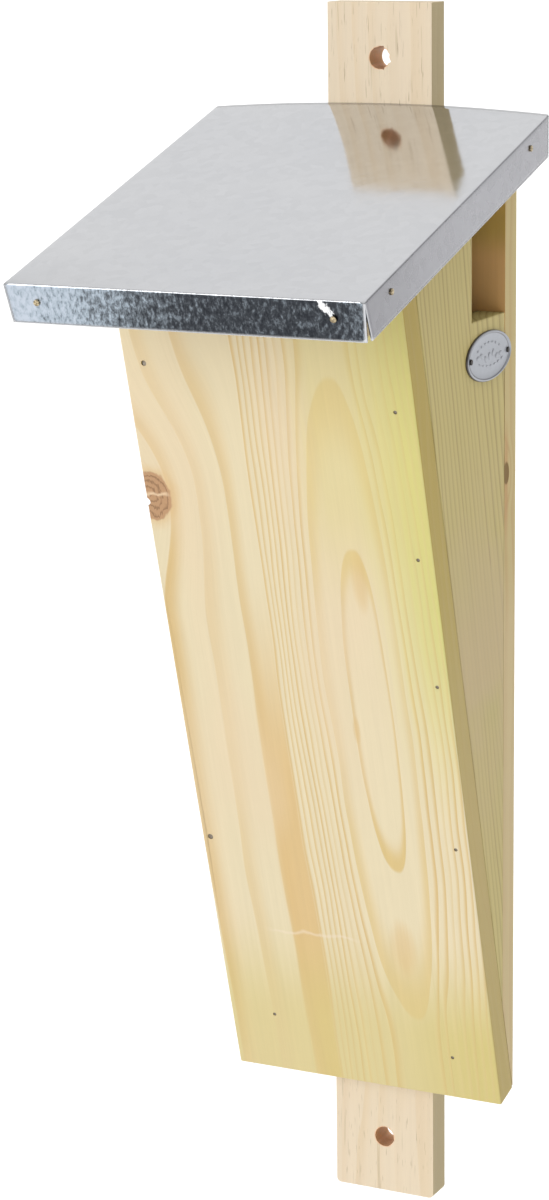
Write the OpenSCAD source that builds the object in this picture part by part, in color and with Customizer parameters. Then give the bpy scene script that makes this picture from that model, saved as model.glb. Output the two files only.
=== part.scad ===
// Wedge-shaped nest box for tree-climbing birds, hung on a long batten.
// The origin is on the back face of the batten, midway between its two fixing holes.
// +Z is up, the sloping front board faces -Y, and the entrance is cut in the +X side.

/* [Box] */
// Width of the box over its side boards
box_w = 139; // [110:1:170]
// How far the box sits to the right of the batten, which is nailed on by eye
box_x = -2; // [-8:0.5:8]
// Thickness of the upright back board
back_t = 13; // [10:0.5:18]
// Thickness of the two side boards
side_t = 14; // [12:0.5:20]
// Thickness of the leaning front board
front_t = 14.5; // [12:0.5:18]
// Lean of the front board from the upright
front_lean = 15.7; // [13:0.1:17]
// Height of the toe, where the front board ends, measured from the origin
toe_z = -228.5; // [-240:0.5:-210]

/* [Entrance] */
// Width of the notch, from the back board forwards
notch_w = 37.5; // [28:0.5:45]
// Height of the notch's sill, measured from the origin
notch_z = 150; // [140:1:165]

/* [Roof] */
// Width of the roof over its metal flanges
roof_w = 167; // [150:1:190]
// How far the roof sits to the right of the box's middle
roof_x = 1.3; // [-5:0.1:5]
// Run of the roof, measured level from the batten to the front fold
roof_run = 195; // [170:1:215]
// Slope of the roof down to the front
roof_slope = 17; // [12:0.5:22]
// Height of the roof's top edge at the batten, measured from the origin
roof_z = 237.5; // [230:0.5:245]
// Thickness of the wooden roof board
roof_t = 15; // [12:0.5:18]
// Thickness of the zinc-coated sheet
sheet_t = 0.7; // [0.5:0.1:1.2]
// Depth of the sheet's turned-down flanges
flange_h = 18; // [17:0.5:24]

/* [Batten] */
// Width of the batten
batten_w = 52; // [40:1:60]
// Thickness of the batten
batten_t = 14; // [12:0.5:18]
// Length of the batten above the origin
batten_up = 286; // [275:1:320]
// Length of the batten below the origin
batten_down = 289; // [275:1:320]
// Distance between the two fixing holes
hole_pitch = 522; // [500:1:530]
// Diameter of the fixing holes
hole_d = 10; // [6:0.5:12]

/* [Cleaning door] */
// Height of the door's pivot nails, measured from the origin
pivot_z = 134; // [110:1:140]
// How far the pivot lies inwards of the middle of the door's thickness
pivot_in = 3; // [0:0.5:4]
// Diameter of the pivot nails
pivot_d = 2; // [1.8:0.1:2.6]
// Radial running clearance of the pivot and lock nails
nail_play = 0.05; // [0.03:0.01:0.1]
// Gap between the door's upright rear edge and the back board
door_gap = 0.8; // [0.6:0.1:1.5]
// Height of the lock nail in the front board, measured from the origin
lock_z = -102.5; // [-130:1:-60]

/* [Badge] */
// Length of the oval badge
badge_l = 50; // [40:1:56]
// Height of the oval badge
badge_h = 22.5; // [18:0.5:30]
// Thickness of the badge's plate
badge_t = 0.8; // [0.6:0.1:1]

/* [Hidden] */
$fn = 48;

WOOD_FRONT = [0.92, 0.85, 0.70];
WOOD_SIDE = [0.75, 0.69, 0.48];
WOOD_BATTEN = [0.90, 0.84, 0.74];
ZINC = [0.74, 0.76, 0.78];
STEEL = [0.45, 0.45, 0.47];
BRASS = [0.75, 0.62, 0.36];

// Planes of the box: back_y is the back board's rear face, inner_y is its front face
back_y = -batten_t;
inner_y = back_y - back_t;
half_w = box_w / 2;
side_mid = half_w - side_t / 2;
lean = tan(front_lean);
pitch = tan(roof_slope);
front_deep = front_t / cos(front_lean);
roof_mid = box_x + roof_x;
pivot_x = box_x - side_mid + pivot_in;

// The front board's square-cut bottom end just reaches the back board's rear face
toe_y = back_y - front_t * cos(front_lean);

// Fasteners: shank radius, head radius and head height
BRAD = [0.6, 0.9, 0.5];
PIN = [0.8, 1.4, 0.7];
NAIL = [1.2, 2.8, 1.2];
PIVOT = [pivot_d / 2, 1.3, 0.8];
ROOF_NAIL = [1, 1.6, 0.8];
BADGE_NAIL = [0.7, 1.3, 0.6];
brad_sink = 0.3;
open_hole = 3;
front_brads_at = [[60, 119], [62, 51], [63.5, -10], [62.5, -92]];
back_brad_z = [88, -80];
toe_brads_at = [[-46, -197.5], [47, -206]];
batten_nails_at = [[-12, 165], [12, 60], [-12, -50], [12, -160]];
roof_nail_x = [-45, 45];
front_pin_drop = 8.3;
side_pin_drop = 6.5;
side_pin_y = [-183.5, -35.5];
front_pin_x = 68.7;
badge_y = -47;
badge_z = 133;
badge_nail_x = 21;
bead_in = 0.6;
bead_w = 1.2;
bead_h = 0.5;
door_front_gap = [1.2, 4];
door_top_gap = 3;
tip_blunt = 3;

// Heights and depths along the sloping faces
function roof_top(y) = roof_z + (y - back_y) * pitch;
function roof_under(y) = roof_top(y) - (sheet_t + roof_t) / cos(roof_slope);
function front_y(z) = toe_y - (z - toe_z) * lean;
function inside_y(z) = front_y(z) + front_deep;

// Where the line y = base - (z - toe_z) * lean meets the plane under the roof, lowered by drop
function meet_y(base, drop = 0) =
    (base - (roof_under(0) - drop - toe_z) * lean) / (1 + pitch * lean);

// A board whose outline lies in the YZ plane and whose width runs along X, centred on mid
module board(outline, width, mid = 0) {
    translate([mid - width / 2, 0, 0])
        rotate([90, 0, 90])
            linear_extrude(width) polygon(outline);
}

// A nail with its head's outer face on the origin and its point towards -Z.
// As a cutter it is open above the head, so that a sunk head shows at the bottom of its hole.
module nail(size, length, open = 0) {
    point = size[0] * 2.5;
    translate([0, 0, -size[2]]) cylinder(r = size[1], h = size[2] + open);
    translate([0, 0, point - length]) cylinder(r = size[0], h = length - point - size[2] + 0.01);
    translate([0, 0, -length]) cylinder(r1 = 0.15, r2 = size[0], h = point);
}

// Puts a nail in the leaning front board, square to its face, sunk below it
module in_front(x, z, sink = brad_sink) {
    translate([box_x + x, front_y(z), z])
        rotate([90 + front_lean, 0, 0])
            translate([0, 0, -sink]) children();
}

// The roof's own frame: origin at the rear top edge, -Y down the slope
module on_roof() {
    translate([roof_mid, back_y, roof_z]) rotate([roof_slope, 0, 0]) children();
}

// --- Batten -------------------------------------------------------------------------------

module mounting_batten() {
    color(WOOD_BATTEN)
        difference() {
            translate([-batten_w / 2, -batten_t, -batten_down])
                cube([batten_w, batten_t, batten_up + batten_down]);
            for (side = [-1, 1])
                translate([0, 1, side * hole_pitch / 2])
                    rotate([90, 0, 0]) cylinder(d = hole_d, h = batten_t + 2);
            batten_nail_set(open_hole);
        }
}

// Nails from the batten's back face into the back board
module batten_nail_set(open = 0) {
    for (at = batten_nails_at)
        translate([at[0], -0.3, at[1]])
            rotate([-90, 0, 0]) nail(NAIL, batten_t + back_t - 2, open);
}

module batten_nails() {
    color(STEEL) batten_nail_set();
}

// --- Box ----------------------------------------------------------------------------------

module back_board() {
    toe_rise = front_t * sin(front_lean);
    color(WOOD_SIDE)
        difference() {
            board([[back_y, toe_z + toe_rise],
                   [back_y, roof_under(back_y)],
                   [inner_y, roof_under(inner_y)],
                   [inner_y, toe_z + toe_rise + back_t / lean]], box_w, box_x);
            batten_nail_set();
            back_brad_set(open_hole);
            toe_brad_set();
            rear_pivot(open_hole);
            roof_nail_set();
            badge_nail_set();
        }
}

// Brads from the back board's rear face into the right side board
module back_brad_set(open = 0) {
    for (z = back_brad_z)
        translate([box_x + side_mid, back_y - brad_sink, z])
            rotate([-90, 0, 0]) nail(BRAD, 24, open);
}

module back_brads() {
    color(STEEL) back_brad_set();
}

module right_side() {
    tip_z = toe_z + (inside_y(toe_z) - inner_y + tip_blunt) / lean;
    top_y = meet_y(inside_y(toe_z));
    notch_y = inner_y - notch_w;
    color(WOOD_SIDE)
        difference() {
            board([[inner_y, tip_z],
                   [inner_y, notch_z],
                   [notch_y, notch_z],
                   [notch_y, roof_under(notch_y)],
                   [top_y, roof_under(top_y)],
                   [inside_y(tip_z), tip_z]], side_t, box_x + side_mid);
            back_brad_set();
            front_brad_set();
            badge_nail_set();
        }
}

module front_board() {
    inner_toe = [toe_y + front_t * cos(front_lean), toe_z + front_t * sin(front_lean)];
    top_out = meet_y(toe_y);
    top_in = meet_y(toe_y + front_deep);
    color(WOOD_FRONT)
        difference() {
            board([[toe_y, toe_z],
                   inner_toe,
                   [top_in, roof_under(top_in)],
                   [top_out, roof_under(top_out)]], box_w, box_x);
            front_brad_set(open_hole);
            toe_brad_set(open_hole);
            front_pivot(open_hole);
            roof_nail_set();
            lock_bore();
        }
}

// Brads through the front board into the right side board
module front_brad_set(open = 0) {
    for (at = front_brads_at)
        in_front(at[0], at[1]) nail(BRAD, front_t + 14, open);
}

module front_brads() {
    color(STEEL) front_brad_set();
}

// Brads through the front board into the back board's bevelled foot
module toe_brad_set(open = 0) {
    for (at = toe_brads_at)
        in_front(at[0], at[1]) nail(BRAD, front_t + 3, open);
}

module toe_brads() {
    color(STEEL) toe_brad_set();
}

// --- Cleaning door --------------------------------------------------------------------------

// The left side board hangs on two nails in one line along Y, so its foot swings outwards.
// Its front edge is eased above the pivot, where the board swings down and inwards.
module left_side_door() {
    rear_y = inner_y - door_gap;
    foot_z = toe_z + (inside_y(toe_z) + door_front_gap[0] - rear_y + tip_blunt) / lean;
    top_y = meet_y(inside_y(toe_z) + door_front_gap[1], door_top_gap);
    color(WOOD_SIDE)
        difference() {
            board([[rear_y, foot_z],
                   [rear_y, roof_under(rear_y) - door_top_gap],
                   [top_y, roof_under(top_y) - door_top_gap],
                   [inside_y(pivot_z) + door_front_gap[0], pivot_z],
                   [inside_y(foot_z) + door_front_gap[0], foot_z]], side_t, box_x - side_mid);
            pivot_bore(front_nail_y, front_nail_l);
            mirror_pivot(rear_nail_y) pivot_bore(0, rear_nail_l);
        }
}

front_nail_y = front_y(pivot_z) + 0.7;
front_nail_l = 34;
rear_nail_y = back_y - brad_sink;
rear_nail_l = 34;

// Running bore in the door for a pivot nail whose head starts at y
module pivot_bore(y, length) {
    translate([pivot_x, y + length + 1, pivot_z])
        rotate([90, 0, 0]) cylinder(r = pivot_d / 2 + nail_play, h = length);
}

// Turns a bore that runs to +Y round to run to -Y from the plane y
module mirror_pivot(y) {
    translate([0, y, 0]) mirror([0, 1, 0]) children();
}

module front_pivot(open = 0) {
    translate([pivot_x, front_nail_y, pivot_z])
        rotate([90, 0, 0]) nail(PIVOT, front_nail_l, open);
}

module front_pivot_nail() {
    color(STEEL) front_pivot();
}

module rear_pivot(open = 0) {
    translate([pivot_x, rear_nail_y, pivot_z])
        rotate([-90, 0, 0]) nail(PIVOT, rear_nail_l, open);
}

module rear_pivot_nail() {
    color(STEEL) rear_pivot();
}

// The lock nail pulls out of the front board along its own axis.
// It ends inside the board, so that the door can be swung while the nail is in place.
lock_edge = 4;
lock_x = lock_edge - half_w;
lock_l = front_t - 1.5;

module lock_nail() {
    color(STEEL) in_front(lock_x, lock_z, 0.2) nail(PIVOT, lock_l);
}

module lock_bore() {
    in_front(lock_x, lock_z, 0) {
        translate([0, 0, -lock_l - 0.5])
            cylinder(r = PIVOT[0] + nail_play, h = lock_l + 1.5);
        translate([0, 0, -PIVOT[2] - 0.3])
            cylinder(r = PIVOT[1] + 0.1, h = PIVOT[2] + 1.5);
    }
}

// --- Roof -----------------------------------------------------------------------------------

roof_len = roof_run / cos(roof_slope);

// A slab in the roof's frame, from the front plane to the plumb cut at the batten
module roof_slab(width, front, top, bottom) {
    rotate([90, 0, 90])
        translate([0, 0, -width / 2])
            linear_extrude(width)
                polygon([[-front, top],
                         [top * pitch, top],
                         [bottom * pitch, bottom],
                         [-front, bottom]]);
}

module roof_board() {
    color(WOOD_BATTEN)
        difference() {
            on_roof()
                roof_slab(roof_w - 2 * sheet_t, roof_len - sheet_t, -sheet_t, -sheet_t - roof_t);
            roof_nail_set(open_hole);
            front_pin_set();
            side_pin_set(-1);
            side_pin_set(1);
        }
}

// Upright nails through the roof board into the back board and the front board
module roof_nail_set(open = 0) {
    back_mid = back_y - back_t / 2;
    front_mid = meet_y(toe_y + front_deep / 2);
    for (x = roof_nail_x) {
        roof_nail(x, back_mid, open);
        roof_nail(x, front_mid, open);
    }
}

module roof_nail(x, y, open) {
    translate([box_x + x, y, roof_top(y) - 2]) nail(ROOF_NAIL, 40, open);
}

module roof_board_nails() {
    color(STEEL) roof_nail_set();
}

// A tray of thin sheet: the top and three flanges, open at the batten
module roof_sheet() {
    color(ZINC)
        difference() {
            on_roof()
                difference() {
                    roof_slab(roof_w, roof_len, 0, -flange_h);
                    roof_slab(roof_w - 2 * sheet_t, roof_len - sheet_t, -sheet_t, -flange_h - 1);
                    rear_trim();
                }
            front_pin_set();
            side_pin_set(-1);
            side_pin_set(1);
        }
}

// Clears the plumb rear end of the tray, which has no flange there
module rear_trim() {
    inside = roof_w - 2 * sheet_t;
    translate([-inside / 2, -20, -flange_h - 1]) cube([inside, 40, flange_h + 1 - sheet_t]);
}

// Pins in the flange across the front
module front_pin_set() {
    on_roof()
        for (side = [-1, 1])
            translate([side * front_pin_x, -roof_len - PIN[2], -front_pin_drop])
                rotate([90, 0, 0]) nail(PIN, 16);
}

module front_flange_pins() {
    color(BRASS) front_pin_set();
}

// Pins in the flange down one side
module side_pin_set(side) {
    for (y = side_pin_y)
        translate([roof_mid + side * (roof_w / 2 + PIN[2]), y,
                   roof_top(y) - side_pin_drop / cos(roof_slope)])
            rotate([0, side * 90, 0]) nail(PIN, 16);
}

module left_flange_pins() {
    color(BRASS) side_pin_set(-1);
}

module right_flange_pins() {
    color(BRASS) side_pin_set(1);
}

// --- Badge ----------------------------------------------------------------------------------

module badge_frame() {
    translate([box_x + half_w, badge_y, badge_z]) rotate([90, 0, 90]) children();
}

// A stamped oval plate with a raised bead round its rim
module badge_plate() {
    color(ZINC)
        badge_frame()
            difference() {
                union() {
                    linear_extrude(badge_t) oval(0);
                    translate([0, 0, badge_t / 2])
                        linear_extrude(badge_t / 2 + bead_h)
                            difference() {
                                oval(bead_in);
                                oval(bead_in + bead_w);
                            }
                }
                badge_holes();
            }
}

// The badge's elliptical outline, moved inwards by inset
module oval(inset) {
    sides = 72;
    polygon([for (i = [0:sides - 1])
        [(badge_l / 2 - inset) * cos(i * 360 / sides), (badge_h / 2 - inset) * sin(i * 360 / sides)]]);
}

module badge_holes() {
    for (side = [-1, 1])
        translate([side * badge_nail_x, 0, -1]) cylinder(r = BADGE_NAIL[0], h = badge_t + 2);
}

module badge_nail_set() {
    badge_frame()
        for (side = [-1, 1])
            translate([side * badge_nail_x, 0, badge_t + BADGE_NAIL[2]]) nail(BADGE_NAIL, 12);
}

module badge_nails() {
    color(STEEL) badge_nail_set();
}

mounting_batten();
batten_nails();
back_board();
right_side();
back_brads();
front_board();
front_brads();
toe_brads();
left_side_door();
front_pivot_nail();
rear_pivot_nail();
lock_nail();
roof_board();
roof_board_nails();
roof_sheet();
front_flange_pins();
left_flange_pins();
right_flange_pins();
badge_plate();
badge_nails();
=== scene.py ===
from math import cos, exp, hypot, pi, radians, sin, tan

import bmesh
import bpy
from mathutils import Matrix, Vector, noise


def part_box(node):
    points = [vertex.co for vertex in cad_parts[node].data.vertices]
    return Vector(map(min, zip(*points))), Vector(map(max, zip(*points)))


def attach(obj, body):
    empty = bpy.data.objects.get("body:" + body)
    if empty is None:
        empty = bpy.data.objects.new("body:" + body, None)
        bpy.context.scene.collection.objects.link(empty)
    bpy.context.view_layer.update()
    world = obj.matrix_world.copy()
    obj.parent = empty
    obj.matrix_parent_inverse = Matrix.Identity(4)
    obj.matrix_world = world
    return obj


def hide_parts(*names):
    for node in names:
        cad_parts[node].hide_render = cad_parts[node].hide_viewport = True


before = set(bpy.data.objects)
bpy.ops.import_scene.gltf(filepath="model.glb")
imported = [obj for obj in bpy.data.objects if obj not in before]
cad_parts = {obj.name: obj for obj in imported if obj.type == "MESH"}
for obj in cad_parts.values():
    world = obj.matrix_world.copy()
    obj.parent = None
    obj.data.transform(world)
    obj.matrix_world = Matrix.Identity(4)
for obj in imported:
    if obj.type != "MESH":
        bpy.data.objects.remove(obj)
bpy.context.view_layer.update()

# --- Studio -----------------------------------------------------------------------------------
# The box hangs in front of white: a large soft lamp low to the front left, a wide one overhead
# that the metal doesn't reflect, a pale surround that is brightest above and behind, and a
# plain floor below the batten's foot.

turn, tilt, roll = radians(26.661), radians(12.822), radians(-0.711)
camera = bpy.data.objects.new("camera", bpy.data.cameras.new("camera"))
camera.data.lens = 97.33
camera.data.sensor_width = 36
camera.location = (0.6238, -1.3693, 0.3485)
camera.rotation_mode = "QUATERNION"
backwards = Vector((sin(turn) * cos(tilt), -cos(turn) * cos(tilt), sin(tilt)))
level = (-backwards).to_track_quat("-Z", "Y")
camera.rotation_quaternion = level @ Matrix.Rotation(roll, 3, "Z").to_quaternion()
bpy.context.scene.collection.objects.link(camera)
bpy.context.scene.camera = camera
bpy.context.scene.view_settings.view_transform = "Standard"

for name, energy, spread, towards in (("front_lamp", 2.3, 45, (-0.42, -0.85, 0.22)),
                                      ("top_lamp", 1.9, 60, (0.0, 0.1, 1.0))):
    lamp = bpy.data.objects.new(name, bpy.data.lights.new(name, "SUN"))
    lamp.data.energy = energy
    lamp.data.angle = radians(spread)
    lamp.visible_glossy = name == "front_lamp"
    lamp.rotation_mode = "QUATERNION"
    lamp.rotation_quaternion = Vector(towards).to_track_quat("Z", "Y")
    bpy.context.scene.collection.objects.link(lamp)

surround = bpy.data.worlds.new("pale_surround")
bpy.context.scene.world = surround
surround.use_nodes = True
glow = surround.node_tree.nodes["Background"]
glow.inputs["Color"].default_value = (1, 1, 1, 1)
looking = surround.node_tree.nodes.new("ShaderNodeTexCoord")
overhead = surround.node_tree.nodes.new("ShaderNodeVectorMath")
overhead.operation = "DOT_PRODUCT"
overhead.inputs[1].default_value = Vector((-0.35, 0.6, 0.7)).normalized()
brighten = surround.node_tree.nodes.new("ShaderNodeMapRange")
brighten.interpolation_type = "SMOOTHSTEP"
brighten.inputs["From Min"].default_value = -0.1
brighten.inputs["From Max"].default_value = 0.9
brighten.inputs["To Min"].default_value = 0.45
brighten.inputs["To Max"].default_value = 0.9
surround.node_tree.links.new(looking.outputs["Generated"], overhead.inputs[0])
surround.node_tree.links.new(overhead.outputs["Value"], brighten.inputs["Value"])
surround.node_tree.links.new(brighten.outputs[0], glow.inputs["Strength"])

floor_level = -0.9
floor_reach = 60
floor_mesh = bpy.data.meshes.new("floor")
floor = bpy.data.objects.new("floor", floor_mesh)
bm = bmesh.new()
bmesh.ops.create_grid(bm, x_segments=1, y_segments=1, size=floor_reach)
bmesh.ops.translate(bm, verts=bm.verts, vec=(0, 0, floor_level))
bm.to_mesh(floor_mesh)
bm.free()
floor_paint = bpy.data.materials.new("pale_floor")
floor_paint.use_nodes = True
matt = floor_paint.node_tree.nodes["Principled BSDF"]
matt.inputs["Base Color"].default_value = (0.86, 0.86, 0.86, 1)
matt.inputs["Roughness"].default_value = 0.9
floor_mesh.materials.append(floor_paint)
bpy.context.scene.collection.objects.link(floor)

# --- Batten -----------------------------------------------------------------------------------
# A sawn length of pale softwood that carries the box and is screwed to the tree through
# its two drilled holes. The corners are barely eased and the drill has torn the fibres.

per_metre = 1000  # millimetres


class Wire:
    """A shader socket that takes part in sums. Each operator adds the node that works it out."""

    def __init__(self, paint, socket):
        self.paint = paint
        self.socket = socket

    def math(self, operation, *others):
        values = dict(enumerate((self,) + others))
        return self.paint.node("ShaderNodeMath", {"operation": operation}, values)

    def __add__(self, other):
        return self.math("ADD", other)

    def __sub__(self, other):
        return self.math("SUBTRACT", other)

    def __rsub__(self, other):
        return self * -1 + other

    def __mul__(self, other):
        return self.math("MULTIPLY", other)

    def __truediv__(self, other):
        return self.math("DIVIDE", other)

    def __pow__(self, other):
        return self.math("POWER", other)

    __radd__ = __add__
    __rmul__ = __mul__


class Paint:
    """One material and the wires in it. Lengths in it are millimetres in the object's own frame."""

    def __init__(self, name, turned=(0, 0, 0)):
        self.material = bpy.data.materials.new(name)
        self.material.use_nodes = True
        self.tree = self.material.node_tree
        self.surface = self.tree.nodes["Principled BSDF"]
        metres = self.node("ShaderNodeTexCoord", output="Object")
        self.place = self.node("ShaderNodeMapping", {}, {
            "Vector": metres, "Scale": (per_metre,) * 3, "Rotation": turned})
        self.x, self.y, self.z = (self.part_of(self.place, axis) for axis in "XYZ")

    def node(self, kind, settings={}, inputs={}, output=0):
        """Adds a node, sets it up, then gives its sockets their values or links."""
        made = self.tree.nodes.new(kind)
        for setting, value in settings.items():
            if setting == "stops":
                self.set_stops(made.color_ramp.elements, value)
            else:
                setattr(made, setting, value)
        for socket, value in inputs.items():
            if isinstance(value, Wire):
                self.tree.links.new(value.socket, made.inputs[socket])
            else:
                made.inputs[socket].default_value = value
        return Wire(self, made.outputs[output])

    def set_stops(self, elements, stops):
        while len(elements) < len(stops):
            elements.new(1)
        for element, (position, colour) in zip(elements, stops):
            element.position = position
            element.color = colour if isinstance(colour, tuple) else (colour, colour, colour, 1)

    def part_of(self, vector, axis):
        return self.node("ShaderNodeSeparateXYZ", {}, {0: vector}, axis)

    def facing(self, axis):
        """The surface's own direction along one axis, from -1 to 1."""
        return self.part_of(self.node("ShaderNodeTexCoord", output="Normal"), axis)

    def joined(self, x, y, z):
        return self.node("ShaderNodeCombineXYZ", {}, {0: x, 1: y, 2: z})

    def rise(self, value, low, high):
        """Climbs smoothly from 0 at low to 1 at high."""
        return self.node("ShaderNodeMapRange", {"interpolation_type": "SMOOTHSTEP"},
                         {0: value, 1: low, 2: high})

    def bump_at(self, value, middle, spread):
        """1 at the middle, falling smoothly to 0 at the spread either side."""
        return self.rise((value - middle).math("ABSOLUTE"), spread, 0)

    def cloud(self, scale, detail=2, stretch=(1, 1, 1), shift=0, roughness=0.5):
        """Noise from 0 to 1 about 1 / scale millimetres across, drawn out along the axes."""
        where = self.node("ShaderNodeMapping", {}, {
            "Vector": self.place, "Scale": stretch, "Location": (shift, shift, shift)})
        return self.node("ShaderNodeTexNoise", {}, {
            "Vector": where, "Scale": scale, "Detail": detail, "Roughness": roughness})

    def blend(self, share, first, second):
        """Goes from the first colour to the second as share goes from 0 to 1."""
        sides = {0: share}
        for socket, side in ((6, first), (7, second)):
            sides[socket] = side if isinstance(side, Wire) else (*side, 1)
        return self.node("ShaderNodeMix", {"data_type": "RGBA"}, sides, 2)

    def shaded(self, colour, amount):
        """The colour made darker or lighter by a wire that is about 1."""
        grey = self.joined(amount, amount, amount)
        return self.node("ShaderNodeVectorMath", {"operation": "MULTIPLY"}, {0: colour, 1: grey})

    def finish(self, colour, roughness, height, depth, **constants):
        """Joins the surface up. Depth is the bump's full height in millimetres."""
        bump = {"Distance": depth / per_metre, "Height": height}
        normal = self.node("ShaderNodeBump", {}, bump, "Normal")
        for socket, wire in (("Base Color", colour), ("Roughness", roughness), ("Normal", normal)):
            self.tree.links.new(wire.socket, self.surface.inputs[socket])
        for socket, value in constants.items():
            self.surface.inputs[socket.replace("_", " ")].default_value = value
        return self.material


class Grain:
    """Softwood as it grows: rings round a heart, cut through wherever the board's face lies."""

    def __init__(self, paint, across, deep, along, heart, rings,
                 bow=0.1, waver=1.6, straight=200, square=2):
        """heart is the pith's place across, in depth and along. rings pairs radii with ring numbers.
        The rings run parallel where the bow passes straight millimetres. Where square is above 2,
        the ovals are fuller."""
        self.paint = paint
        self.place = paint.joined(across, deep, along)
        wander = self.fibres(0.02, 2, 0.3, 7) - 0.5
        ripple = self.fibres(0.12, 1, 0.16, 3) - 0.5
        off = across - heart[0] + wander * waver * 6 + ripple * waver * 1.6
        down = deep - heart[1]
        run = ((along - heart[2]) * bow).math("ABSOLUTE").math("SMOOTH_MIN", straight, 4)
        oval = (off.math("ABSOLUTE") ** square + run ** square) ** (2 / square)
        self.radius = (oval + down * down) ** 0.5
        last_radius, last_ring = rings[-1]
        growth = paint.node("ShaderNodeValToRGB", {
            "stops": [(r / last_radius, n / last_ring) for r, n in rings]},
            {0: self.radius / last_radius}) * last_ring
        number = growth.math("FLOOR")
        age = growth.math("FRACT")
        chance = paint.node("ShaderNodeTexWhiteNoise", {"noise_dimensions": "1D"}, {"W": number})
        strength = chance * 0.6 + 0.4
        self.late = paint.rise(age, 0.4, 0.92) * paint.rise(age, 1, 0.95) * strength
        self.hair = self.fibres(1.6, 3, 0.02, 1)
        self.streak = self.fibres(0.35, 3, 0.03, 5)

    def fibres(self, scale, detail, squeeze, shift):
        """Noise drawn out along the grain."""
        where = self.paint.node("ShaderNodeMapping", {}, {
            "Vector": self.place, "Scale": (1, 1, squeeze), "Location": (shift, shift, shift)})
        return self.paint.node("ShaderNodeTexNoise", {}, {
            "Vector": where, "Scale": scale, "Detail": detail})

    def flecks(self, scale, squeeze, amount, shift):
        """Short dark resin streaks lying along the grain."""
        return self.paint.rise(self.fibres(scale, 2, squeeze, shift), amount, amount + 0.09)

    def colour(self, pale, ringed):
        return self.paint.blend(self.late, pale, ringed)

    def finish(self, colour, end_grain):
        """Adds the fibres' own light and dark, and darkens the sawn ends where the pores are open."""
        paint = self.paint
        ends = paint.rise(end_grain.math("ABSOLUTE"), 0.7, 0.95)
        lit = 0.93 + self.hair * 0.08 + self.streak * 0.09 - ends * 0.16
        rough = 0.52 + self.hair * 0.12 + ends * 0.2 - self.late * 0.08
        height = self.hair * 0.6 + self.late * 0.5 + self.streak * 0.4
        return paint.finish(paint.shaded(colour, lit), rough, height, 0.09, Specular_IOR_Level=0.35)


def add_piece(name, bm, material, body, slot, *nodes):
    """Turns a finished bmesh into a piece that rides on a body and stands for CAD nodes."""
    mesh = bpy.data.meshes.new(name)
    bm.to_mesh(mesh)
    bm.free()
    mesh.materials.append(material)
    piece = bpy.data.objects.new(name, mesh)
    bpy.context.scene.collection.objects.link(piece)
    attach(piece, body)
    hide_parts(*nodes)
    return piece


def merged_copy(node):
    """The CAD node's mesh as one closed skin with flat faces joined up."""
    bm = bmesh.new()
    bm.from_mesh(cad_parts[node].data)
    bmesh.ops.remove_doubles(bm, verts=bm.verts, dist=1e-6)
    bmesh.ops.dissolve_limit(bm, angle_limit=radians(0.5), verts=bm.verts, edges=bm.edges)
    return bm


def bevel(bm, corners, width, segments):
    bmesh.ops.bevel(bm, geom=corners, offset=width, offset_type="OFFSET", segments=segments,
                    profile=0.5, affect="EDGES", material=-1, clamp_overlap=True)


def ease_corners(bm, width, shortest=0.004, bluntest=30):
    """Rounds every long corner of a board by a small width, and leaves its nail holes crisp."""
    corners = [edge for edge in bm.edges
               if edge.is_manifold and edge.calc_length() > shortest
               and edge.calc_face_angle() > radians(bluntest)]
    bevel(bm, corners, width, 2)


def round_off(bm, axis, width, worn):
    """Rounds the edges that run along an axis and have both ends where worn says so."""
    corners = []
    for edge in bm.edges:
        along = (edge.verts[1].co - edge.verts[0].co).normalized()
        if abs(along[axis]) > 0.99 and all(worn(end.co) for end in edge.verts):
            corners.append(edge)
    bevel(bm, corners, width, 4)


batten_low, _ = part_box("mounting_batten")
hole_up = 0.261
hole_radius = 0.005
deepest_tears = ((-hole_up, 0.0004), (hole_up, 0.0016))
touching = 1e-5

bm = merged_copy("mounting_batten")
for vertex in bm.verts:
    for hole_z, deepest in deepest_tears:
        spoke = Vector((vertex.co.x, 0, vertex.co.z - hole_z))
        on_rim = abs(spoke.length - hole_radius) < 1e-4
        if on_rim and vertex.co.y < batten_low.y + touching:
            tear = max(0, noise.noise(spoke * 900)) * deepest
            vertex.co += spoke.normalized() * tear
round_off(bm, 1, 0.0025, lambda end: end.z < batten_low.z + touching)
ease_corners(bm, 0.0009)

paint = Paint("batten_softwood")
grain = Grain(paint, paint.x, paint.y, paint.z, heart=(38, -46, 90), bow=0.03, waver=3.2,
              rings=[(0, 0), (40, 4), (75, 9), (110, 15), (160, 22)])
colour = grain.colour((0.575, 0.485, 0.345), (0.54, 0.43, 0.275))
colour = paint.blend(grain.fibres(0.03, 2, 0.2, 11) * 0.7, colour, (0.56, 0.455, 0.35))
colour = paint.blend(grain.flecks(1.3, 0.07, 0.63, 21) * 0.55, colour, (0.22, 0.165, 0.10))
colour = paint.blend(grain.flecks(0.5, 0.05, 0.62, 31) * 0.4, colour, (0.34, 0.27, 0.17))
edge_side = paint.rise(paint.facing("X").math("ABSOLUTE"), 0.6, 0.9)
colour = paint.blend(edge_side * 0.85, colour, (0.36, 0.285, 0.14))
for hole_z in (-hole_up, hole_up):
    from_hole = (paint.x * paint.x + (paint.z - hole_z * per_metre) ** 2) ** 0.5
    scorch = paint.rise(from_hole + grain.hair * 1.5, 6.6, 4.9)
    colour = paint.blend(scorch * 0.95, colour, (0.70, 0.29, 0.09))
batten_softwood = grain.finish(colour, paint.facing("Z"))
add_piece("batten_timber", bm, batten_softwood, "nest_box", "batten_wood", "mounting_batten")

# --- Batten nails -----------------------------------------------------------------------------
# Four plain wire nails driven from the tree side of the batten into the back board.
# Bright steel gone dull, with the head's rim rounded over by the hammer.


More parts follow.
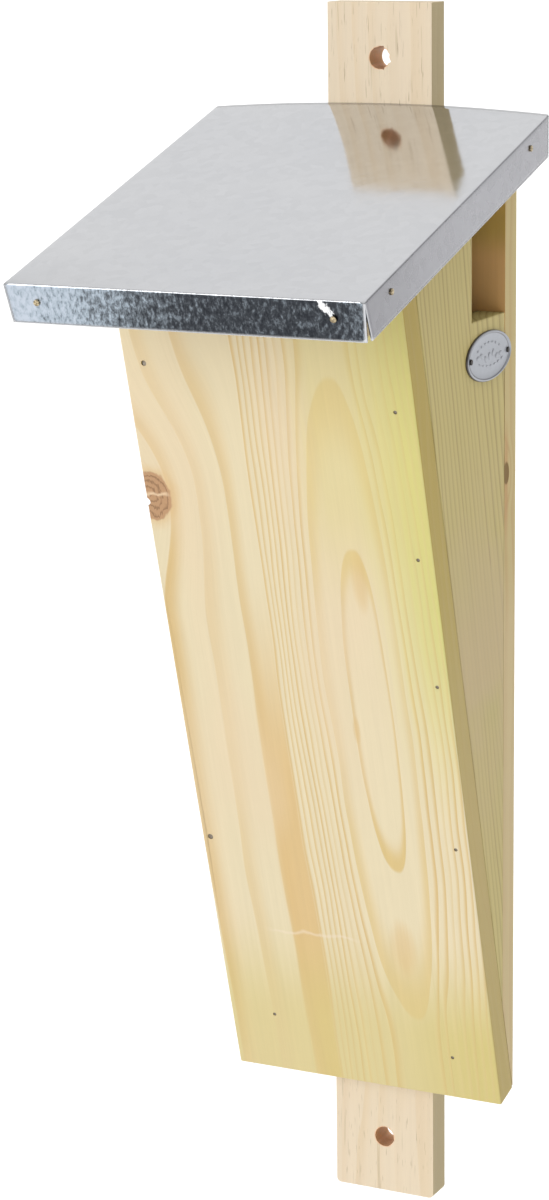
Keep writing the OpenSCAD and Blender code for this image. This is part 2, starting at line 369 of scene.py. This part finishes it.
def steel(name, tone, rusty):
    """Bare steel that has dulled in patches, with rust only where rusty is above 0."""
    paint = Paint(name)
    patch = paint.cloud(0.9, 3)
    colour = paint.blend(patch, tone, tuple(0.55 * part for part in tone))
    colour = paint.blend(paint.rise(paint.cloud(0.6, 4, shift=9), 0.52, 0.66) * rusty,
                         colour, (0.16, 0.08, 0.045))
    rough = 0.32 + patch * 0.3
    return paint.finish(colour, rough, paint.cloud(4, 3), 0.05, Metallic=0.9)


nail_steel = steel("nail_steel", (0.36, 0.36, 0.37), 0.35)


def add_nails(name, node, body, slot, material, rounding=0.0003):
    """Copies of the CAD nails with the rims of their heads rounded."""
    bm = merged_copy(node)
    ease_corners(bm, rounding, shortest=0, bluntest=60)
    add_piece(name, bm, material, body, slot, node)


add_nails("batten_wire_nails", "batten_nails", "nest_box", "steel_nails", nail_steel)

# --- Back board -------------------------------------------------------------------------------
# The upright board of the box, nailed to the batten, with its foot cut to the front's slope.
# Yellowish pine with a small dark knot that comes through on the right edge.

back_low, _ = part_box("back_board")
bm = merged_copy("back_board")
round_off(bm, 0, 0.0022, lambda end: end.z < back_low.z + touching)
ease_corners(bm, 0.0012)

paint = Paint("back_pine")
knot_rise = (paint.z - 76) / 5.2
knot_width = (paint.y + 24.8) / 3.3
knot = (knot_rise ** 2 + knot_width ** 2) ** 0.5
push = paint.rise(knot, 4, 0.8) * 5
grain = Grain(paint, paint.x + push, paint.y, paint.z, heart=(-30, 34, 40), bow=0.1,
              rings=[(0, 0), (45, 8), (70, 16), (100, 26), (140, 36)])
colour = grain.colour((0.485, 0.385, 0.175), (0.42, 0.28, 0.10))
lower_half = paint.cloud(0.012, 2, shift=4) * paint.rise(paint.z, 40, -10)
colour = paint.blend(lower_half, colour, (0.54, 0.425, 0.245))
tail = paint.bump_at(paint.y, -25, 4) * paint.rise(paint.z, 40, 62) * paint.rise(paint.z, 105, 84)
right_edge = paint.rise(paint.facing("X"), 0.5, 0.9)
colour = paint.blend(tail * 0.75 * right_edge, colour, (0.44, 0.24, 0.085))
colour = paint.blend(paint.rise(knot, 1.12, 0.85) * right_edge, colour, (0.17, 0.09, 0.008))
# Painted light and shade seen through the entrance notch: the back board's front face above 130 mm is
# painted orange-brown, darker towards the top under the roof.
notch_painted_light = paint.rise(paint.facing("Y"), -0.5, -0.9) * paint.rise(paint.z, 130, 145)
notch_painted_tone = paint.blend(paint.rise(paint.z, 172, 188), (0.72, 0.42, 0.165), (0.51, 0.335, 0.08))
colour = paint.blend(notch_painted_light * 0.9, colour, notch_painted_tone)
back_pine = grain.finish(colour, paint.facing("Z"))
add_piece("back_timber", bm, back_pine, "nest_box", "side_wood", "back_board")

# --- Right side board -------------------------------------------------------------------------
# A wedge of planed pine with the entrance notched out of its top rear corner. Its grain
# leans with its front edge. The wedge's blunt end is drawn on down to a thin tip.

side_lean = radians(12.5)
side_low, side_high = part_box("right_side")
blunt_end = 0.002
tip_drop = 0.009
tip_share = 0.17

bm = merged_copy("right_side")
ease_corners(bm, 0.0007)
for vertex in bm.verts:
    if vertex.co.z < side_low.z + blunt_end:
        vertex.co.z -= tip_drop
        vertex.co.y = side_high.y + (vertex.co.y - side_high.y) * tip_share


def side_pine(name, heart, shift):
    """Olive-yellow pine whose grain leans with the front of the box."""
    paint = Paint(name, turned=(-side_lean, 0, 0))
    grain = Grain(paint, paint.y, paint.x, paint.z, heart, bow=0.09, waver=1.5,
                  rings=[(0, 0), (45, 7), (75, 17), (105, 27), (150, 40), (200, 52)])
    colour = grain.colour((0.475, 0.395, 0.155), (0.33, 0.25, 0.075))
    middle = paint.bump_at(paint.z, 5, 120) * paint.rise(paint.cloud(0.02, 2, shift=shift), 0.25, 0.55)
    colour = paint.blend(middle * 0.75, colour, (0.475, 0.365, 0.205))
    olive = paint.rise(paint.cloud(0.016, 2, (1, 1, 0.6), shift + 8), 0.5, 0.75) * (1 - middle)
    colour = paint.blend(olive * 0.5, colour, (0.40, 0.38, 0.12))
    colour = paint.blend(grain.flecks(0.8, 0.03, 0.66, shift) * 0.4, colour, (0.28, 0.18, 0.07))
    return paint, grain, colour


paint, grain, colour = side_pine("right_side_pine", (24, 128, 60), 2)
right_side_pine = grain.finish(colour, paint.facing("Z"))
add_piece("right_side_timber", bm, right_side_pine, "nest_box", "side_wood", "right_side")

# --- Back brads -------------------------------------------------------------------------------
# Thin steel brads shot through the back board's rear face into the right side board.
# Their small heads are sunk just below the wood and have darkened.

brad_steel = steel("brad_steel", (0.27, 0.235, 0.19), 0.4)
add_nails("back_wire_brads", "back_brads", "nest_box", "steel_nails", brad_steel, 0.00012)

# --- Front board ------------------------------------------------------------------------------
# One wide planed pine board that leans out from toe to roof. It was sawn well to one side of
# the heart, so its rings open into long ovals, and a branch knot breaks its left edge.

front_lean = radians(15.7)
front_thick = 0.0145
front_low, front_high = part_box("front_board")
knot_z = 0.071
toe_y = front_high.y - front_thick * cos(front_lean)
face_y = toe_y - (knot_z - front_low.z) * tan(front_lean)
bite_at = (front_low.x - 0.0001, face_y + 0.0015, knot_z - 0.003)

bm = merged_copy("front_board")
ease_corners(bm, 0.0007)
bite = bmesh.new()
bmesh.ops.create_icosphere(bite, subdivisions=3, radius=1)
for vertex in bite.verts:
    vertex.co *= 1 + 0.35 * noise.noise(vertex.co * 2.3)
bmesh.ops.scale(bite, vec=(0.0017, 0.0045, 0.0021), verts=bite.verts)
bmesh.ops.translate(bite, vec=bite_at, verts=bite.verts)

paint = Paint("front_pine", turned=(-front_lean, 0, 0))
u, s = paint.x, paint.z
knot_u, knot_s = -70.5, 98.7
ragged = paint.cloud(0.1, 3, shift=14) - 0.5
ragged_wood = paint.cloud(0.05, 3, shift=27) - 0.5
from_knot = ((u - knot_u) ** 2 + (s - knot_s) ** 2) ** 0.5 + ragged * 7
beside = paint.rise(u, -28, -71)
round_knot = paint.bump_at(s, knot_s, 62) * beside * 15
swept = paint.rise(s, 105, 185) * paint.rise(u, -12, -45) * -17
right_part = u.math("MAXIMUM", 29.0) * 0.4 - u.math("MAXIMUM", 45.0) * 0.58 + 14.5
grain = Grain(paint, u - round_knot - swept + right_part, paint.y, s, heart=(29, -63.75, -3.6),
              bow=0.14, waver=1.2, straight=23.5, square=2.5,
              rings=[(0, 0), (26.5, 0.3), (27.5, 1), (34, 2), (54, 11), (67, 12), (84, 13),
                     (104, 14), (125, 15)])
colour = grain.colour((0.555, 0.478, 0.317), (0.48, 0.335, 0.14))
inside_band = paint.rise(grain.radius, 53, 55) * paint.rise(grain.radius, 68, 65)
left_half = paint.rise(u, 10, -5)
amber = inside_band * left_half * paint.rise(s, 70, -50)
colour = paint.blend(amber * 0.9, colour, (0.50, 0.345, 0.15))
blush = paint.rise(paint.cloud(0.011, 2, (1.4, 1, 0.5), 3), 0.42, 0.62) * paint.rise(u, 62, 25)
colour = paint.blend(blush * 0.5, colour, (0.565, 0.45, 0.30))
sunny = paint.rise(u + grain.streak * 14, 36, 76) * paint.rise(s, -75, 60)
colour = paint.blend(sunny * (1 - grain.late * 0.4), colour, (0.47, 0.44, 0.15))
green_crown = paint.rise(u + grain.streak * 10, 6, 26) * paint.rise(s, 40, 110)
colour = paint.blend(green_crown * 0.45, colour, (0.48, 0.425, 0.15))
foot = paint.rise(s + grain.streak * 14, -108, -175) * (0.65 + 0.35 * paint.rise(u, 10, 62))
colour = paint.blend(foot * (1 - grain.late * 0.4) * 0.95, colour, (0.455, 0.38, 0.135))
for flame_u, flame_s, wide, tall in ((30, 64, 4.5, 17), (27, -130, 7, 17), (18.5, -13, 2, 8)):
    flame = ((u - flame_u) / wide) ** 2 + ((s - flame_s) / tall) ** 2
    colour = paint.blend(paint.rise(flame + grain.streak, 1.7, 0.5) * 0.6, colour, (0.505, 0.355, 0.165))
scratch = paint.bump_at(s + ragged_wood * 10, -129, 1.4) * paint.rise(u, -48, -36) * paint.rise(u, 8, -4)
colour = paint.blend(scratch * 0.45, colour, (0.62, 0.52, 0.40))
arches = grain.late * paint.rise(grain.radius, 34.5, 33.5) * paint.rise(s.math("ABSOLUTE"), 40, 80)
colour = paint.blend(arches * 0.55, colour, (0.50, 0.37, 0.12))
knot_ring = (from_knot * 0.34 + grain.hair * 0.9 + ragged).math("FRACT")
heartwood = paint.blend(paint.rise(knot_ring, 0.55, 0.9) * 0.8, (0.37, 0.215, 0.11), (0.19, 0.10, 0.045))
crack = paint.bump_at(s + ragged * 9, knot_s + 1, 1.3) * paint.rise(u, -58, -62)
heartwood = paint.blend(crack * 0.8, heartwood, (0.62, 0.46, 0.30))
collar = paint.rise(from_knot + grain.streak * 2, 20, 12.5)
colour = paint.blend(collar * 0.55, colour, (0.50, 0.33, 0.15))
colour = paint.blend(paint.rise(from_knot + grain.streak * 1.5, 13.6, 12.4), colour, heartwood)
edge_side = paint.rise(paint.facing("X"), 0.6, 0.9)
edge_tone = paint.blend(paint.rise(s, -40, 120), (0.41, 0.31, 0.10), (0.385, 0.28, 0.06))
colour = paint.blend(edge_side * 0.9, colour, edge_tone)
front_pine = grain.finish(colour, paint.facing("Z"))
front_timber = add_piece("front_timber", bm, front_pine, "nest_box", "front_wood", "front_board")

bite_mesh = bpy.data.meshes.new("bite")
bite.to_mesh(bite_mesh)
bite.free()
bite_mesh.materials.append(front_pine)
bite_piece = bpy.data.objects.new("bite", bite_mesh)
bpy.context.scene.collection.objects.link(bite_piece)
chip = front_timber.modifiers.new("chip", "BOOLEAN")
chip.operation = "DIFFERENCE"
chip.object = bite_piece
chip.solver = "EXACT"
evaluated = front_timber.evaluated_get(bpy.context.evaluated_depsgraph_get())
chipped = bpy.data.meshes.new_from_object(evaluated)
front_timber.modifiers.remove(chip)
front_timber.data = chipped
bpy.data.objects.remove(bite_piece)

# --- Front and toe brads ----------------------------------------------------------------------
# Four brads hold the front board to the right side board, and two more hold its toe to the
# back board's foot. Each head sits at the bottom of a small dark dimple.

add_nails("front_wire_brads", "front_brads", "nest_box", "steel_nails", brad_steel, 0.00012)
add_nails("toe_wire_brads", "toe_brads", "nest_box", "steel_nails", brad_steel, 0.00012)

# --- Cleaning door ----------------------------------------------------------------------------
# The left side board, the mirror of the right one but whole, with its edges eased so that it
# swings out on two nails when the box is cleaned.

bm = merged_copy("left_side_door")
ease_corners(bm, 0.0007)
paint, grain, colour = side_pine("door_pine", (-175, -150, -30), 31)
door_pine = grain.finish(colour, paint.facing("Z"))
add_piece("door_timber", bm, door_pine, "cleaning_door", "side_wood", "left_side_door")

# --- Pivot nails and lock nail ----------------------------------------------------------------
# Three round-headed nails: two in one line make the door's hinge, and the third, low on the
# front board's left edge, pulls out to free the door.

add_nails("front_hinge_nail", "front_pivot_nail", "nest_box", "steel_nails", brad_steel, 0.00025)
add_nails("rear_hinge_nail", "rear_pivot_nail", "nest_box", "steel_nails", nail_steel, 0.00025)
add_nails("lock_wire_nail", "lock_nail", "lock_pin", "steel_nails", brad_steel, 0.00025)

# --- Roof board and its nails -----------------------------------------------------------------
# A plain board laid down the slope and nailed through into the back and the front board.
# Only its underside shows, between the box and the sheet's flanges.

bm = merged_copy("roof_board")
ease_corners(bm, 0.0006)
roof_slope = radians(17)
paint = Paint("roof_softwood", turned=(-roof_slope, 0, 0))
grain = Grain(paint, paint.y, paint.z, paint.x, heart=(-60, 260, 10), bow=0.08,
              rings=[(0, 0), (40, 6), (90, 20), (150, 36)])
colour = grain.colour((0.55, 0.45, 0.28), (0.46, 0.32, 0.15))
colour = paint.blend(paint.cloud(0.02, 3) * 0.5, colour, (0.50, 0.42, 0.30))
roof_softwood = grain.finish(colour, paint.facing("X"))
add_piece("roof_timber", bm, roof_softwood, "nest_box", "roof_wood", "roof_board")
add_nails("roof_wire_nails", "roof_board_nails", "nest_box", "steel_nails", nail_steel)

# --- Roof sheet -------------------------------------------------------------------------------
# A tray of zinc-coated steel folded down over the front and both sides of the roof board.
# The free rear edge has sprung up in the middle, and the corner slits open downwards.

sheet_low, sheet_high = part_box("roof_sheet")
sheet_thick = 0.0007
flange_deep = 0.018
fold_radius = 0.0011
sprung = 0.0030
corner_slit = (0.0014, 0.0022)
half = (sheet_high.x - sheet_low.x) / 2 - fold_radius
length = (sheet_high.y - sheet_low.y) / cos(roof_slope) - fold_radius
facets = 66

bm = bmesh.new()
bmesh.ops.create_grid(bm, x_segments=facets, y_segments=facets, size=0.5)
bmesh.ops.translate(bm, vec=(0, -0.5, 0), verts=bm.verts)
bmesh.ops.scale(bm, vec=(2 * half, length, 1), verts=bm.verts)


def run_on(bm, edges, step, grow):
    """Extrudes a row of edges by one step, and stretches the new row about the origin."""
    made = bmesh.ops.extrude_edge_only(bm, edges=edges)["geom"]
    row = [item for item in made if isinstance(item, bmesh.types.BMVert)]
    bmesh.ops.scale(bm, vec=grow, verts=row)
    bmesh.ops.translate(bm, vec=step, verts=row)
    return [item for item in made if isinstance(item, bmesh.types.BMEdge)
            and all(end in row for end in item.verts)]


def fold_down(bm, edges, outward, slit):
    """Folds a row of edges through a right angle and runs it down as a flange."""
    bends, rows = 6, 9
    ends = Vector((1 - abs(outward.x), 1 - abs(outward.y), 0))
    sizes = Vector((half, length, 1))

    def stretch(amount):
        return Vector(1 + ends[axis] * amount / sizes[axis] for axis in range(3))

    for bend in range(bends):
        start, stop = (pi / 2 * (bend + more) / bends for more in (0, 1))
        out = fold_radius * (sin(stop) - sin(start))
        drop = fold_radius * (cos(start) - cos(stop))
        edges = run_on(bm, edges, outward * out - Vector((0, 0, drop)), stretch(out))
    for _ in range(rows):
        step = Vector((0, 0, -(flange_deep - fold_radius) / rows))
        edges = run_on(bm, edges, step, stretch(-slit / rows))


border = [edge for edge in bm.edges if edge.is_boundary]
for outward, slit in ((Vector((0, -1, 0)), corner_slit[0]),
                      (Vector((-1, 0, 0)), corner_slit[1]),
                      (Vector((1, 0, 0)), corner_slit[1])):
    reach = half if outward.x else length
    fold_down(bm, [edge for edge in border
                   if all(end.co.dot(outward) > reach - touching for end in edge.verts)], outward, slit)

# Pushed out of flat: the sprung rear edge, a faint ripple, and a dent by each front pin.
spring_reach = 0.095
plumb_reach = 0.04
ripple_depth = 0.00012
ripples_across, ripples_along = 22, 16
pin_drop = 0.0078
pin_dents = ((0.0667, 0.0035, 0.0007), (-0.0707, 0.003, 0.0003))  # place, spread, depth
for vertex in bm.verts:
    over = vertex.co.x / half
    spring = sprung * max(0, 1 - over * over) * max(0, 1 + vertex.co.y / spring_reach) ** 2
    ripple = noise.noise(Vector((vertex.co.x * ripples_across, vertex.co.y * ripples_along, 3)))
    if vertex.co.z > -touching:
        vertex.co.z += spring + ripple_depth * ripple * max(0, 1 - over ** 8)
    near_rear = max(0, 1 + vertex.co.y / plumb_reach)
    vertex.co.y += vertex.co.z * tan(roof_slope) * near_rear
    if vertex.co.y < -length:
        for middle, spread, depth in pin_dents:
            away = hypot(vertex.co.x - middle, vertex.co.z + pin_drop)
            vertex.co.y += depth * exp(-(away / spread) ** 2)

bmesh.ops.recalc_face_normals(bm, faces=bm.faces)
top_face = max(bm.faces, key=lambda face: face.calc_center_median().z)
if top_face.normal.z < 0:
    bmesh.ops.reverse_faces(bm, faces=bm.faces)
for face in bm.faces:
    face.smooth = True
ridge = ((sheet_low.x + sheet_high.x) / 2, sheet_high.y, sheet_high.z)
onto_roof = Matrix.Translation(ridge)
bmesh.ops.transform(bm, matrix=onto_roof @ Matrix.Rotation(roof_slope, 4, "X"), verts=bm.verts)

paint = Paint("zinc_coat", turned=(-roof_slope, 0, 0))
frost = paint.node("ShaderNodeTexVoronoi", {}, {"Vector": paint.place, "Scale": 0.22}, "Color")
spangle = paint.part_of(frost, "X")
grit = paint.cloud(0.8, 4, roughness=0.7)
mist = paint.cloud(0.022, 3, shift=6)
colour = paint.blend(mist, (0.635, 0.645, 0.67), (0.69, 0.695, 0.71))
# Painted shade: the sheet's top is darkened towards its front left corner.
front_left_painted_shade = paint.rise(paint.x, 10, -90) * paint.rise(paint.y, -110, -215)
colour = paint.shaded(colour, 1 - front_left_painted_shade * 0.28)
colour = paint.shaded(colour, 0.965 + spangle * 0.05 + grit * 0.02)
sides = paint.rise(paint.facing("X").math("ABSOLUTE"), 0.55, 0.95)
# Painted reflection: the side flanges get a much darker metal colour than the top, darker still towards
# the front.
flange_painted_reflection = paint.blend(paint.rise(paint.y, -215, -30), (0.215, 0.213, 0.228), (0.33, 0.33, 0.35))
colour = paint.blend(sides, colour, paint.shaded(flange_painted_reflection, 0.95 + spangle * 0.1))
down_slope = paint.facing("Y") * -1 * cos(roof_slope) - paint.facing("Z") * sin(roof_slope)
front = paint.rise(down_slope, 0.75, 0.97)
# Painted reflection: the front flange's metal colour is a streaky mottle from pale blue-grey to near
# black, darker towards the right and a little lighter again at the right end.
streaky_noise = paint.cloud(0.5, 5, (1, 1, 0.55), 12, 0.75)
patch = paint.cloud(0.09, 2, shift=15)
painted_dark_rightwards = paint.rise(paint.x + patch * 46, -78, 42)
painted_reflection_mottle = streaky_noise + painted_dark_rightwards * 0.40 - 0.215 - paint.rise(paint.x, 66, 82) * 0.08
painted_reflection_tones = paint.node("ShaderNodeValToRGB", {"stops": [
    (0.28, (0.48, 0.53, 0.60, 1)), (0.42, (0.36, 0.42, 0.48, 1)),
    (0.53, (0.165, 0.19, 0.215, 1)), (0.66, (0.05, 0.055, 0.063, 1)),
    (0.80, (0.025, 0.028, 0.034, 1))]}, {0: painted_reflection_mottle})
colour = paint.blend(front, colour, painted_reflection_tones)
beside_pin = paint.x - 64.8
above_pin = paint.z - 227.2
across_scuff = (beside_pin * 0.8 + above_pin * 0.6) / 2.0
along_scuff = (above_pin * 0.8 - beside_pin * 0.6) / 5.2
scuff = (across_scuff ** 2 + along_scuff ** 2) ** 0.5 + streaky_noise * 3.4
colour = paint.blend(paint.rise(scuff, 2.75, 2.35) * front, colour, (0.80, 0.81, 0.82))
rough = 0.07 + spangle * 0.02 + mist * 0.03 + sides * 0.18 + front * (0.12 + grit * 0.25)
height = paint.cloud(0.05, 1, shift=2) * 0.45 + grit * 0.03 + spangle * 0.04 + front * streaky_noise * 0.6
zinc_coat = paint.finish(colour, rough, height, 0.10, Metallic=1.0)
sheet = add_piece("folded_sheet", bm, zinc_coat, "nest_box", "zinc_sheet", "roof_sheet")
wall = sheet.modifiers.new("gauge", "SOLIDIFY")
wall.thickness = sheet_thick
wall.offset = -1
wall.use_even_offset = True

# --- Flange pins ------------------------------------------------------------------------------
# Small brassed pins that hold the sheet's flanges to the edges of the roof board.
# Their heads are domed and stand proud of the metal, brown where the brass has rubbed through.

paint = Paint("pin_brass")
worn = paint.rise(paint.cloud(1.1, 4, roughness=0.7), 0.38, 0.58)
colour = paint.blend(worn * 0.8, (0.60, 0.50, 0.32), (0.16, 0.12, 0.075))
pin_brass = paint.finish(colour, 0.22 + worn * 0.3, paint.cloud(3, 3), 0.08, Metallic=1.0)
for side in ("front", "left", "right"):
    node = side + "_flange_pins"
    add_nails(side + "_brass_pins", node, "nest_box", "brass_pins", pin_brass, 0.00045)

# --- Badge ------------------------------------------------------------------------------------
# A stamped oval of zinc nailed under the entrance, with a bead rolled round its rim and a
# plain garland of leaves between rows of dots. Two dark nails hold it at the ends.

badge_low, badge_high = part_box("badge_plate")
badge_middle = (badge_low + badge_high) / 2
badge_half = ((badge_high.y - badge_low.y) / 2, (badge_high.z - badge_low.z) / 2)
# The plate's profile from the edge inwards: distance in and height, in millimetres.
badge_profile = ((0.0, 0.0), (0.0, 0.55), (0.15, 0.85), (0.45, 1.2), (0.75, 1.3), (1.05, 1.2),
                 (1.35, 0.85), (1.6, 0.75), (5.0, 0.8), (9.0, 0.82))

bm = bmesh.new()
bmesh.ops.create_circle(bm, segments=96, radius=1)
bmesh.ops.scale(bm, vec=(badge_half[0], badge_half[1], 1), verts=bm.verts)
rim = list(bm.edges)
for (inward, height), (next_inward, next_height) in zip(badge_profile, badge_profile[1:]):
    shrink = [(size - next_inward / per_metre) / (size - inward / per_metre) for size in badge_half]
    rim = run_on(bm, rim, (0, 0, (next_height - height) / per_metre), (*shrink, 1))
bmesh.ops.contextual_create(bm, geom=rim)
bmesh.ops.contextual_create(bm, geom=[edge for edge in bm.edges if edge.is_boundary])
bmesh.ops.recalc_face_normals(bm, faces=bm.faces)


def emboss(bm, at, size, turn):
    """Presses up one small rounded mark. Place and size are in millimetres on the plate."""
    made = bmesh.ops.create_uvsphere(bm, u_segments=14, v_segments=8, radius=1 / per_metre)
    bmesh.ops.scale(bm, vec=(*size, 0.35), verts=made["verts"])
    bmesh.ops.rotate(bm, cent=(0, 0, 0), matrix=Matrix.Rotation(turn, 3, "Z"), verts=made["verts"])
    bmesh.ops.translate(bm, vec=Vector((*at, 0.8)) / per_metre, verts=made["verts"])


for leaf in range(-3, 4):
    sag = leaf * leaf
    emboss(bm, (leaf * 4.2, 1.2 * sin(leaf * 2)), (1.9, 1.2), radians(90 - leaf * 31))
    emboss(bm, (leaf * 4.2 + 1.6, 0.2 * sag - 4.5), (1.2, 0.5), radians(leaf * 9))
    emboss(bm, (leaf * 4.0 - 0.8, 6.2 - 0.3 * sag), (0.7, 0.6), 0)
for face in bm.faces:
    face.smooth = len(face.verts) < 5
onto_side = Matrix(((0, 0, 1, badge_low.x),
                    (1, 0, 0, badge_middle.y),
                    (0, 1, 0, badge_middle.z),
                    (0, 0, 0, 1)))
bmesh.ops.transform(bm, matrix=onto_side, verts=bm.verts)

paint = Paint("badge_zinc")
cloudy = paint.cloud(0.25, 4)
colour = paint.blend(cloudy, (0.33, 0.345, 0.375), (0.46, 0.475, 0.51))
long_way = (paint.y - badge_middle.y * per_metre) / (badge_half[0] * per_metre)
high_way = (paint.z - badge_middle.z * per_metre) / (badge_half[1] * per_metre)
from_middle = (long_way ** 2 + high_way ** 2) ** 0.5
# Painted shade: the badge is darkened at its outer edge and in a ring at the crease inside the bead.
rim_painted_shade = paint.rise(from_middle, 0.975, 0.995) + paint.bump_at(from_middle, 0.9, 0.03) * 0.7
colour = paint.blend(rim_painted_shade, colour, (0.11, 0.10, 0.10))
# Painted shade: a band at mid-height on the flanks of the raised marks and the bead is darkened.
relief_painted_shade = paint.bump_at(paint.x, badge_low.x * per_metre + 0.98, 0.14) * cloudy
colour = paint.blend(relief_painted_shade * 0.7, colour, (0.20, 0.20, 0.21))
badge_zinc = paint.finish(colour, 0.34 + cloudy * 0.2, paint.cloud(1.4, 3), 0.06, Metallic=0.85)
add_piece("stamped_badge", bm, badge_zinc, "nest_box", "badge_zinc", "badge_plate")
badge_steel = steel("badge_steel", (0.06, 0.055, 0.05), 0.3)
add_nails("badge_wire_nails", "badge_nails", "nest_box", "steel_nails", badge_steel, 0.0003)
